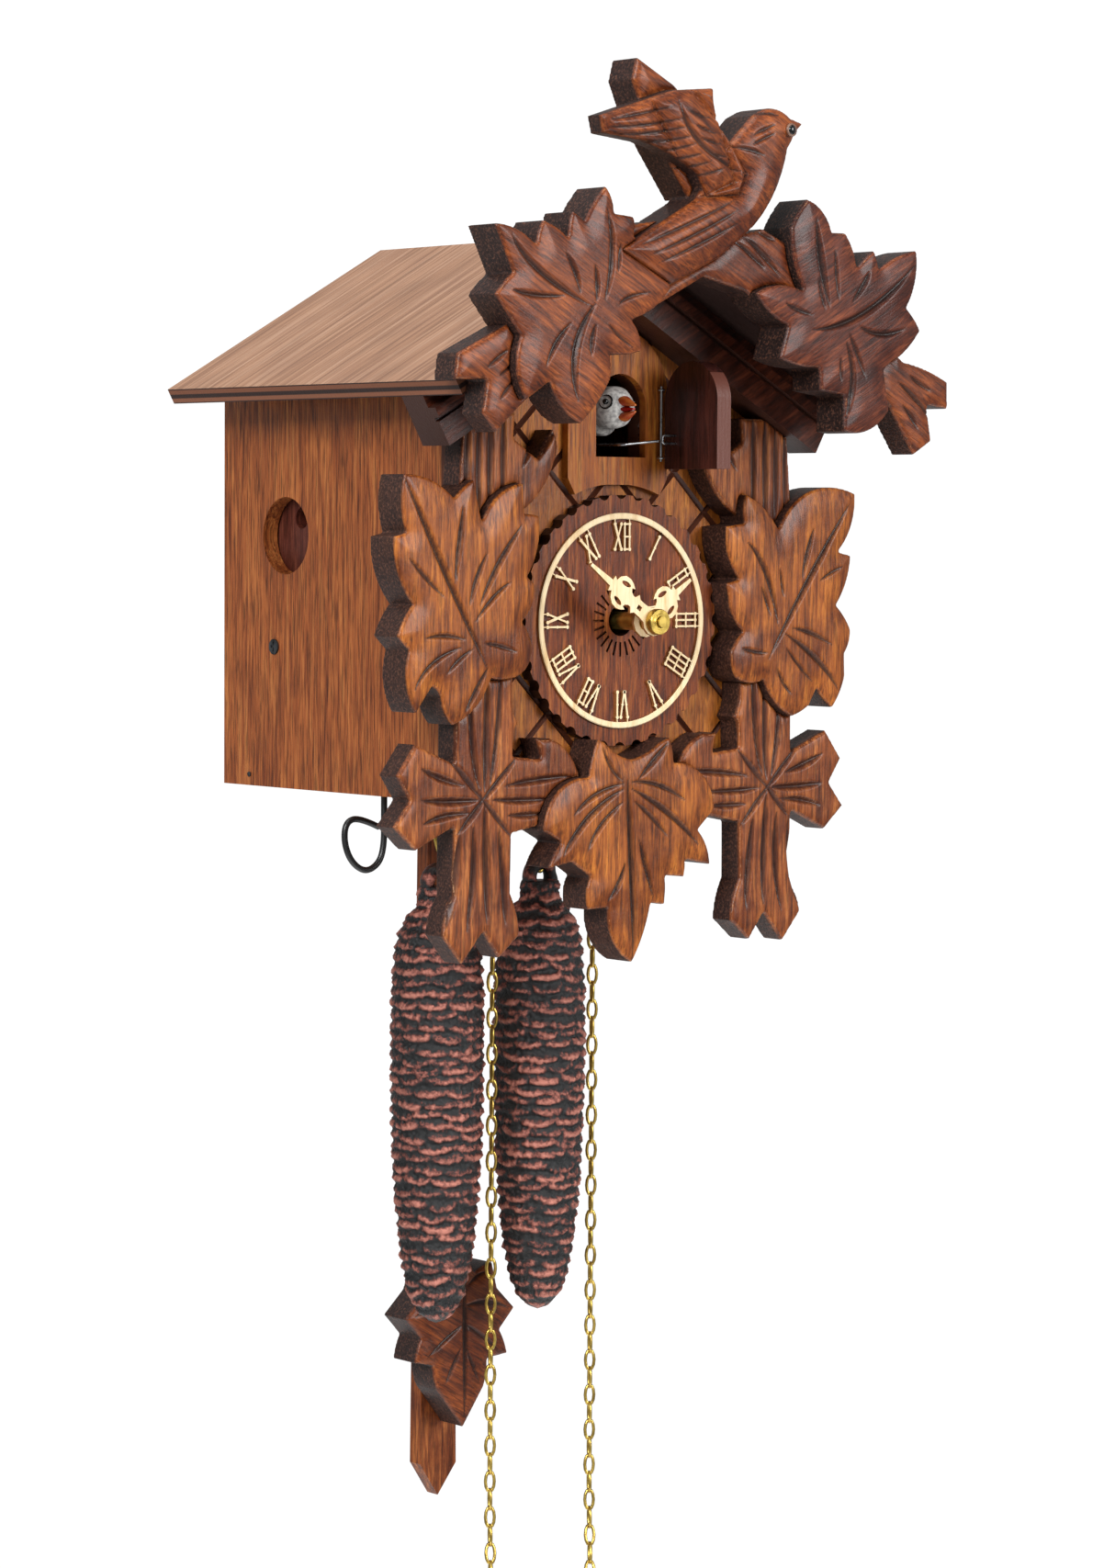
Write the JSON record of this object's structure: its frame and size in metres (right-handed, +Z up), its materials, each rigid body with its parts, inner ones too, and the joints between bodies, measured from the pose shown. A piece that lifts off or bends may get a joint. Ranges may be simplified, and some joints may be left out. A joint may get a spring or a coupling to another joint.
{
  "type": "cuckoo clock",
  "caption": "House-shaped wall clock in carved stained wood: leaf and bird carvings, dial, door with a sliding cuckoo, swinging pendulum, chains with pine-cone weights.",
  "frame": {"origin": "centre of the hanging hole on the back face, which lies against the wall", "axes": "+Z up along the height, +Y into the wall, +X to the right as seen from the front"},
  "size_m": [0.1798, 0.1493, 0.5295],
  "materials": {
    "case_veneer": "satin lacquer over brown veneer",
    "roof_veneer": "satin lacquer over pale brown veneer",
    "front_veneer": "satin lacquer over honey veneer",
    "carved_wood": "satin lacquer over stained limewood",
    "crown_wood": "satin lacquer over dark stained limewood",
    "dial_wood": "satin",
    "pale_wood": "satin",
    "door_wood": "satin",
    "inner_wood": "plain",
    "cuckoo_paint": "painted",
    "beak_paint": "painted",
    "bird_eye_glass": "glossy",
    "brass": "polished",
    "steel": "bright wire",
    "black_wire": "black",
    "cone_copper": "copper paint over black",
    "chain_bundle": "polished links with air between them"
  },
  "bodies": {
    "case": {"back_board": "case_veneer", "side_wall_left": "case_veneer", "side_wall_right": "case_veneer", "bottom_board": "case_veneer", "front_panel": "front_veneer", "roof_panel_left": "roof_veneer", "roof_panel_right": "roof_veneer", "gable_trim_left": "crown_wood", "gable_trim_right": "crown_wood", "carved_post_left": "carved_wood", "carved_post_right": "carved_wood", "leaf_left": "carved_wood", "leaf_right": "carved_wood", "leaf_bottom": "carved_wood", "crown_leaf_left": "crown_wood", "crown_leaf_right": "crown_wood", "crown_branch": "crown_wood", "crown_bird": "crown_wood", "dial_disc": "dial_wood", "chapter_ring": "pale_wood", "door_surround": "front_veneer", "door_hinge_wire": "steel", "movement_front_plate": "brass", "movement_back_plate": "brass", "movement_pillars": "brass", "gong": "steel", "whistles": "inner_wood", "case_screws": "steel"},
    "minute_hand": {"minute_hand": "pale_wood", "hand_nut": "brass", "minute_arbor": "brass"},
    "hour_hand": {"hour_hand": "pale_wood", "hour_pipe": "brass"},
    "third_wheel": {"third_wheel": "brass"},
    "escape_wheel": {"escape_wheel": "brass"},
    "weight_left": {"weight_left": "cone_copper", "weight_chain_left": "brass"},
    "weight_right": {"weight_right": "cone_copper", "weight_chain_right": "brass"},
    "going_wheel": {"going_chain_wheel": "brass"},
    "strike_wheel": {"strike_chain_wheel": "brass"},
    "free_chain_left": {"free_chain_left": "brass", "chain_hank_left": "chain_bundle", "chain_ring_left": "brass"},
    "free_chain_right": {"free_chain_right": "brass", "chain_hank_right": "chain_bundle", "chain_ring_right": "brass"},
    "pendulum": {"anchor": "steel", "pendulum_rod": "carved_wood", "pendulum_leaf": "crown_wood"},
    "hammer": {"hammer": "steel"},
    "bellows_left": {"bellows_lid_left": "inner_wood"},
    "bellows_right": {"bellows_lid_right": "inner_wood"},
    "cuckoo": {"cuckoo_body": "cuckoo_paint", "cuckoo_beak": "beak_paint", "cuckoo_arm": "inner_wood", "door_link_wire": "steel"},
    "door": {"door_leaf": "door_wood", "door_staple": "steel"},
    "silencer": {"silencer_wire": "black_wire"}
  },
  "joints": [
    {"name": "minute_hand_turn", "type": "hinge", "parent": "case", "child": "minute_hand", "pos_m": [0, -0.1, -0.084], "axis": [0, 1, 0], "continuous": true},
    {"name": "hour_hand_turn", "type": "hinge", "parent": "case", "child": "hour_hand", "pos_m": [0, -0.1, -0.084], "axis": [0, 1, 0], "continuous": true},
    {"name": "third_wheel_turn", "type": "hinge", "parent": "case", "child": "third_wheel", "pos_m": [0.018, -0.07, -0.064], "axis": [0, 1, 0], "continuous": true},
    {"name": "escape_wheel_turn", "type": "hinge", "parent": "case", "child": "escape_wheel", "pos_m": [0, -0.07, -0.071], "axis": [0, 1, 0], "continuous": true},
    {"name": "left_weight_drop", "type": "slide", "parent": "case", "child": "weight_left", "axis": [0, 0, -1], "range_m": [0, 0.04]},
    {"name": "right_weight_drop", "type": "slide", "parent": "case", "child": "weight_right", "axis": [0, 0, -1], "range_m": [0, 0.04]},
    {"name": "going_wheel_turn", "type": "hinge", "parent": "case", "child": "going_wheel", "pos_m": [-0.0155, -0.062, -0.088], "axis": [0, -1, 0], "range_deg": [0, 230]},
    {"name": "strike_wheel_turn", "type": "hinge", "parent": "case", "child": "strike_wheel", "pos_m": [0.022, -0.062, -0.088], "axis": [0, -1, 0], "range_deg": [0, 230]},
    {"name": "left_chain_rise", "type": "slide", "parent": "case", "child": "free_chain_left", "axis": [0, 0, 1], "range_m": [0, 0.041]},
    {"name": "right_chain_rise", "type": "slide", "parent": "case", "child": "free_chain_right", "axis": [0, 0, 1], "range_m": [0, 0.041]},
    {"name": "pendulum_swing", "type": "hinge", "parent": "case", "child": "pendulum", "pos_m": [0, -0.028, -0.058], "axis": [0, 1, 0], "range_deg": [-4, 4]},
    {"name": "hammer_strike", "type": "hinge", "parent": "case", "child": "hammer", "pos_m": [0.032, -0.05, -0.062], "axis": [0, 1, 0], "range_deg": [0, 11]},
    {"name": "left_bellows_lift", "type": "hinge", "parent": "case", "child": "bellows_left", "pos_m": [-0.042, -0.014, -0.0316], "axis": [-1, 0, 0], "range_deg": [0, 12]},
    {"name": "right_bellows_lift", "type": "hinge", "parent": "case", "child": "bellows_right", "pos_m": [0.042, -0.014, -0.0316], "axis": [-1, 0, 0], "range_deg": [0, 12]},
    {"name": "cuckoo_retreat", "type": "slide", "parent": "case", "child": "cuckoo", "axis": [0, 1, 0], "range_m": [0, 0.022]},
    {"name": "door_swing", "type": "hinge", "parent": "case", "child": "door", "pos_m": [0.0148, -0.1111, -0.029], "axis": [0, 0, 1], "range_deg": [-91, 0]},
    {"name": "silencer_pull", "type": "slide", "parent": "case", "child": "silencer", "axis": [0, 0, -1], "range_m": [0, 0.008]}
  ],
  "couplings": [
    {"joint": "hour_hand_turn", "follows": "minute_hand_turn", "ratio": 0.083333},
    {"joint": "third_wheel_turn", "follows": "minute_hand_turn", "ratio": -7.5},
    {"joint": "escape_wheel_turn", "follows": "minute_hand_turn", "ratio": 60},
    {"joint": "going_wheel_turn", "follows": "left_weight_drop", "rad_per_m": 100},
    {"joint": "strike_wheel_turn", "follows": "right_weight_drop", "rad_per_m": 100},
    {"joint": "left_chain_rise", "follows": "left_weight_drop", "ratio": 1},
    {"joint": "right_chain_rise", "follows": "right_weight_drop", "ratio": 1},
    {"joint": "door_swing", "follows": "cuckoo_retreat", "rad_per_m": -71.4}
  ]
}
